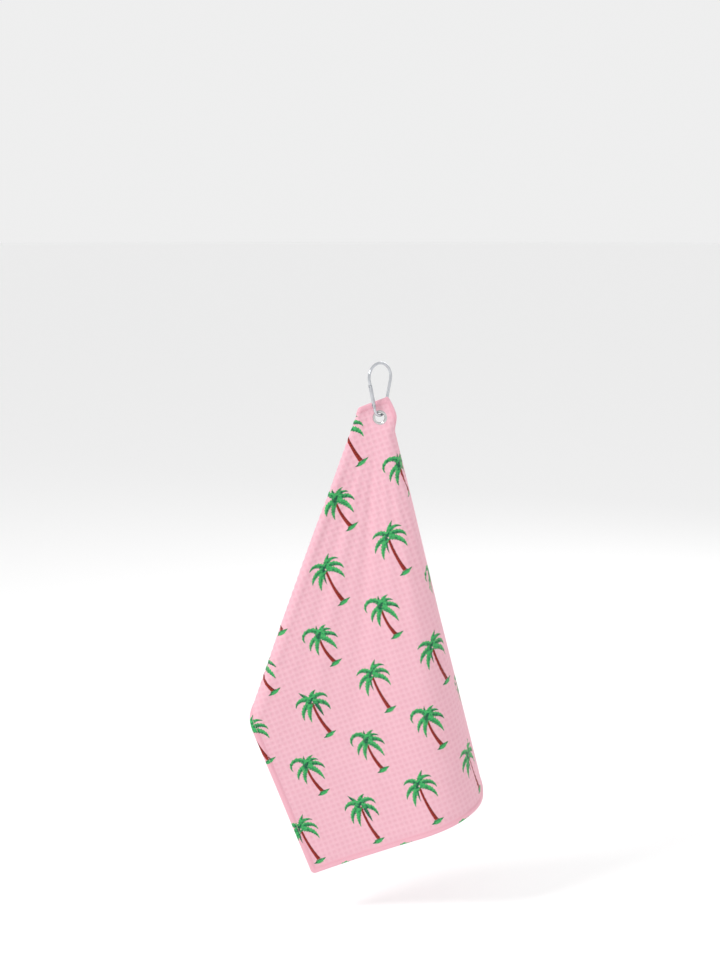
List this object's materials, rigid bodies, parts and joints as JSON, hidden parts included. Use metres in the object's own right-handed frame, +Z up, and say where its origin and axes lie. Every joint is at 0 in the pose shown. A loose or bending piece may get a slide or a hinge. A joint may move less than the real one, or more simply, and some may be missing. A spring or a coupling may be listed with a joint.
{
  "type": "golf towel",
  "caption": "Waffle-weave golf towel with a bound hem and a corner grommet, draped as it hangs from a pear-shaped snap carabiner.",
  "frame": {"origin": "top inside of the carabiner's crown, where it rests on the strap, ring or rod that it hangs from", "axes": "+Z up, +X to the right and +Y to the back when looking at the printed side of the towel"},
  "size_m": [0.3186, 0.1627, 0.7311],
  "materials": {
    "bent_rod": "polished, lightly brushed",
    "gate_metal": "satin, turned",
    "small_steel": "satin",
    "grommet_metal": "bright nickel",
    "waffle_cloth": "matte waffle weave with a printed palm pattern",
    "hem_tape": "matte plain weave",
    "thread": "spun thread"
  },
  "bodies": {
    "carabiner": {"carabiner_frame": "bent_rod"},
    "gate": {"gate_tube": "gate_metal", "gate_rivet": "small_steel", "latch_pin": "small_steel", "gate_spring": "small_steel", "gate_plunger": "small_steel"},
    "towel": {"grommet_eyelet": "grommet_metal", "grommet_washer": "grommet_metal", "towel_cloth": "waffle_cloth", "hem_binding": "hem_tape", "hem_stitching": "thread"}
  },
  "joints": [
    {"name": "gate_hinge", "type": "hinge", "parent": "carabiner", "child": "gate", "pos_m": [-0.00662, -0.00788, -0.05538], "axis": [-0.766, 0.6428, 0], "range_deg": [0, 25], "stiffness_Nm_per_rad": 0.03, "springref_deg": -28.65},
    {"name": "towel_swing", "type": "hinge", "parent": "carabiner", "child": "towel", "pos_m": [0, 0, -0.0719], "axis": [0, 1, 0], "range_deg": [-25, 25]}
  ]
}
